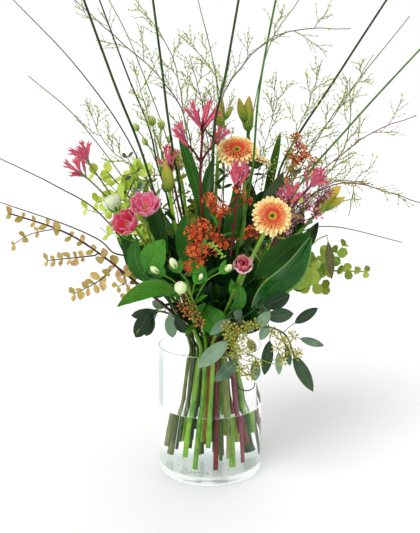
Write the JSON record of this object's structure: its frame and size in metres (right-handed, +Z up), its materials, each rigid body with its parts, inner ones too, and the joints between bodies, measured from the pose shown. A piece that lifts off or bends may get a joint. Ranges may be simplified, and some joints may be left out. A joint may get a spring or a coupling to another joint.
{
  "type": "bouquet in a glass vase",
  "caption": "Mixed bouquet with gerberas, lisianthus, lily buds, kangaroo paw, eucalyptus and steel grass standing in a clear glass cylinder vase with water.",
  "frame": {"origin": "centre of the vase's flat underside, on the surface that it stands on", "axes": "+Z up, along the bouquet; -Y is the front, where the front gerbera faces; +X to the right seen from the front"},
  "size_m": [0.6259, 0.2764, 0.7751],
  "materials": {
    "clear_glass": "clear blown and cut soda-lime glass",
    "water": "still clear water",
    "gerbera_petal": "matt velvety petals, cream to salmon with a red ring",
    "gerbera_stem": "hairy light green stem",
    "lily_bud": "satin green bud with yellow and rust flush",
    "lily_leaf": "satin green leaf blade",
    "kangaroo_paw": "woolly coral pink flower tubes",
    "lisianthus_petal": "soft pink petals, white at the rim",
    "lisianthus_stem": "smooth blue-green stem",
    "lisianthus_bud": "cream and pale green buds",
    "milkweed_flower": "small orange-red waxy flowers",
    "orange_spray": "rust orange bells on fine twigs",
    "waxflower": "pink-purple small flowers and buds",
    "steel_grass": "dark green wiry blade",
    "budded_twig": "dark thin bark with tiny green buds",
    "eucalyptus_dried": "matt beige and olive leaves",
    "eucalyptus_lime": "matt lime green round leaves",
    "eucalyptus_grey": "waxy grey-green leaves",
    "lime_foliage": "fresh lime green oval leaves",
    "glossy_leaf": "glossy deep green leaf"
  },
  "bodies": {
    "root": {"eucalyptus_left": "eucalyptus_dried", "eucalyptus_low": "eucalyptus_grey", "eucalyptus_right": "eucalyptus_lime", "eucalyptus_seeded": "eucalyptus_grey", "gerbera_back_head": "gerbera_petal", "gerbera_back_stem": "gerbera_stem", "gerbera_front_head": "gerbera_petal", "gerbera_front_stem": "gerbera_stem", "gerbera_left_head": "gerbera_petal", "gerbera_left_stem": "gerbera_stem", "gerbera_top_head": "gerbera_petal", "gerbera_top_stem": "gerbera_stem", "kangaroo_paw_centre": "kangaroo_paw", "kangaroo_paw_front": "kangaroo_paw", "kangaroo_paw_left": "kangaroo_paw", "kangaroo_paw_right": "kangaroo_paw", "kangaroo_paw_top": "kangaroo_paw", "leaf_back_left": "glossy_leaf", "leaf_back_right": "glossy_leaf", "leaf_centre": "glossy_leaf", "leaf_left_dark": "glossy_leaf", "leaf_left_light": "glossy_leaf", "leaf_right_glossy": "glossy_leaf", "leaf_rolled": "glossy_leaf", "lily_bud_left": "lily_bud", "lily_bud_middle": "lily_bud", "lily_bud_right": "lily_bud", "lily_bud_tall": "lily_bud", "lily_leaf_left": "lily_leaf", "lily_leaf_right": "lily_leaf", "lime_foliage": "lime_foliage", "lisianthus_bud_pink": "lisianthus_petal", "lisianthus_buds_green": "lisianthus_bud", "lisianthus_buds_white": "lisianthus_bud", "lisianthus_flower_white": "lisianthus_bud", "lisianthus_pink_high": "lisianthus_petal", "lisianthus_pink_low": "lisianthus_petal", "lisianthus_pink_stem": "lisianthus_stem", "milkweed_front": "milkweed_flower", "milkweed_middle": "milkweed_flower", "orange_spray": "orange_spray", "steel_grass_1": "steel_grass", "steel_grass_10": "steel_grass", "steel_grass_2": "steel_grass", "steel_grass_3": "steel_grass", "steel_grass_4": "steel_grass", "steel_grass_5": "steel_grass", "steel_grass_6": "steel_grass", "steel_grass_7": "steel_grass", "steel_grass_8": "steel_grass", "steel_grass_9": "steel_grass", "twig_1": "budded_twig", "twig_2": "budded_twig", "twig_3": "budded_twig", "twig_4": "budded_twig", "twig_5": "budded_twig", "twig_6": "budded_twig", "vase": "clear_glass", "water": "water", "waxflower": "waxflower"}
  },
  "joints": []
}
